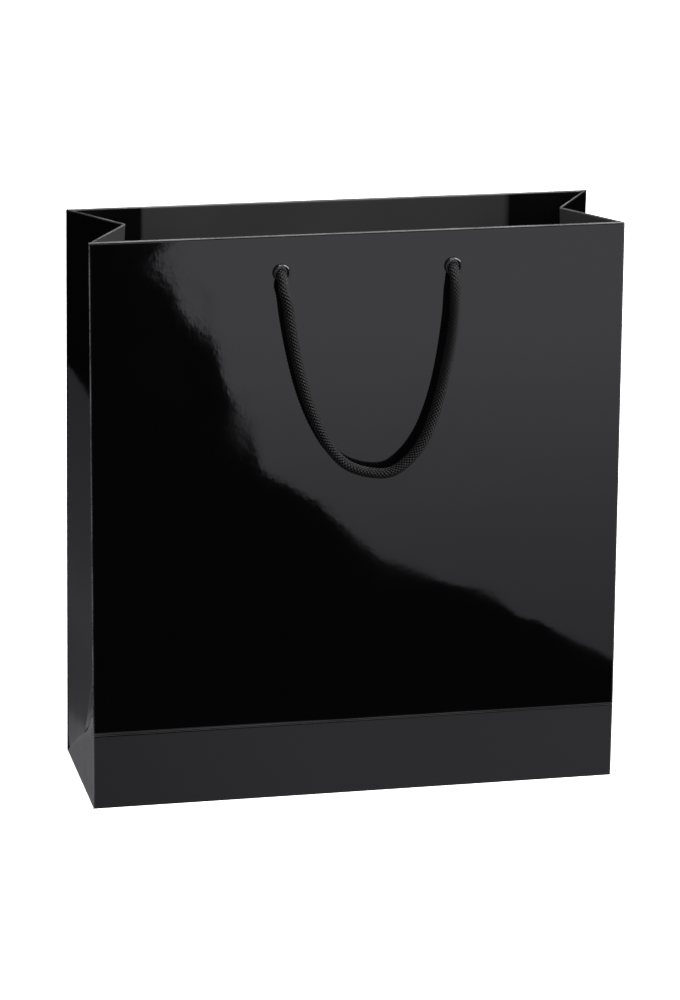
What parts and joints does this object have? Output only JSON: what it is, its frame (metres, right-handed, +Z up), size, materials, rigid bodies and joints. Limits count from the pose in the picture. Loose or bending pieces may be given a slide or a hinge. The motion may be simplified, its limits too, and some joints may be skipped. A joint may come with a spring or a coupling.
{
  "type": "bottle gift bag",
  "caption": "Upright gloss paper carrier bag for bottles, with turned-over rim, V-folded side gussets, metal eyelets and braided rope handles.",
  "frame": {"origin": "on the ground, under the middle of the bag's base", "axes": "+Z up, -Y towards the front panel, +X to the right seen from the front"},
  "size_m": [0.352, 0.1271, 0.38],
  "materials": {
    "gloss_paper": "black printed paper with a clear gloss laminate",
    "grey_board": "uncoated grey board",
    "black_metal": "gloss black enamelled eyelet",
    "braided_rope": "black braided polypropylene cord with a soft sheen"
  },
  "bodies": {
    "base": {"bottom_outer_flap": "gloss_paper", "bottom_inner_flap_left": "gloss_paper", "bottom_inner_flap_right": "gloss_paper", "bottom_board": "grey_board", "front_base_strip": "gloss_paper", "left_foot_fold": "gloss_paper", "right_foot_fold": "gloss_paper"},
    "front_wall": {"front_panel": "gloss_paper", "front_rim_card": "grey_board", "front_cuff": "gloss_paper", "front_left_eyelet": "black_metal", "front_left_washer": "black_metal", "front_left_rope_end": "braided_rope", "front_right_eyelet": "black_metal", "front_right_washer": "black_metal", "front_right_rope_end": "braided_rope"},
    "rear_wall": {"rear_panel": "gloss_paper", "rear_rim_card": "grey_board", "rear_cuff": "gloss_paper", "rear_left_eyelet": "black_metal", "rear_left_washer": "black_metal", "rear_left_rope_end": "braided_rope", "rear_right_eyelet": "black_metal", "rear_right_washer": "black_metal", "rear_right_rope_end": "braided_rope", "side_seam_flap": "gloss_paper"},
    "left_front_gusset_fold": {"left_front_gusset": "gloss_paper", "left_front_gusset_hem": "gloss_paper"},
    "left_rear_gusset_fold": {"left_rear_gusset": "gloss_paper", "left_rear_gusset_hem": "gloss_paper"},
    "right_front_gusset_fold": {"right_front_gusset": "gloss_paper", "right_front_gusset_hem": "gloss_paper"},
    "right_rear_gusset_fold": {"right_rear_gusset": "gloss_paper", "right_rear_gusset_hem": "gloss_paper"},
    "front_handle": {"front_rope_handle": "braided_rope"},
    "rear_handle": {"rear_rope_handle": "braided_rope"}
  },
  "joints": [
    {"name": "mouth_close", "type": "hinge", "parent": "base", "child": "front_wall", "pos_m": [0, -0.056, 0.051], "axis": [-1, 0, 0], "range_deg": [0, 4.94], "stiffness_Nm_per_rad": 0.3, "springref_deg": -3.44},
    {"name": "rear_wall_lean", "type": "hinge", "parent": "base", "child": "rear_wall", "pos_m": [0, 0.056, 0], "axis": [1, 0, 0], "range_deg": [0, 4.33]},
    {"name": "left_front_gusset_turn", "type": "hinge", "parent": "front_wall", "child": "left_front_gusset_fold", "pos_m": [-0.176, -0.056, 0.051], "axis": [0, -0.0273, -0.9996], "range_deg": [0, 38.07], "deforming": ["left_front_gusset", "left_front_gusset_hem"]},
    {"name": "left_rear_gusset_turn", "type": "hinge", "parent": "rear_wall", "child": "left_rear_gusset_fold", "pos_m": [-0.176, 0.056, 0], "axis": [0, -0.0237, 0.9997], "range_deg": [0, 38.07], "deforming": ["left_rear_gusset", "left_rear_gusset_hem"]},
    {"name": "right_front_gusset_turn", "type": "hinge", "parent": "front_wall", "child": "right_front_gusset_fold", "pos_m": [0.176, -0.056, 0.051], "axis": [0, 0.0273, 0.9996], "range_deg": [0, 38.07], "deforming": ["right_front_gusset", "right_front_gusset_hem"]},
    {"name": "right_rear_gusset_turn", "type": "hinge", "parent": "rear_wall", "child": "right_rear_gusset_fold", "pos_m": [0.176, 0.056, 0], "axis": [0, 0.0237, -0.9997], "range_deg": [0, 38.07], "deforming": ["right_rear_gusset", "right_rear_gusset_hem"]},
    {"name": "front_handle_swing", "type": "hinge", "parent": "front_wall", "child": "front_handle", "pos_m": [0, -0.05817, 0.3558], "axis": [-1, 0, 0], "range_deg": [0, 180]},
    {"name": "rear_handle_swing", "type": "hinge", "parent": "rear_wall", "child": "rear_handle", "pos_m": [0, 0.05823, 0.34926], "axis": [1, 0, 0], "range_deg": [0, 180]}
  ],
  "couplings": [
    {"joint": "rear_wall_lean", "follows": "mouth_close", "ratio": 0.8662},
    {"joint": "left_front_gusset_turn", "follows": "mouth_close", "ratio": 7.6466},
    {"joint": "left_rear_gusset_turn", "follows": "mouth_close", "ratio": 7.6466},
    {"joint": "right_front_gusset_turn", "follows": "mouth_close", "ratio": 7.6466},
    {"joint": "right_rear_gusset_turn", "follows": "mouth_close", "ratio": 7.6466}
  ]
}
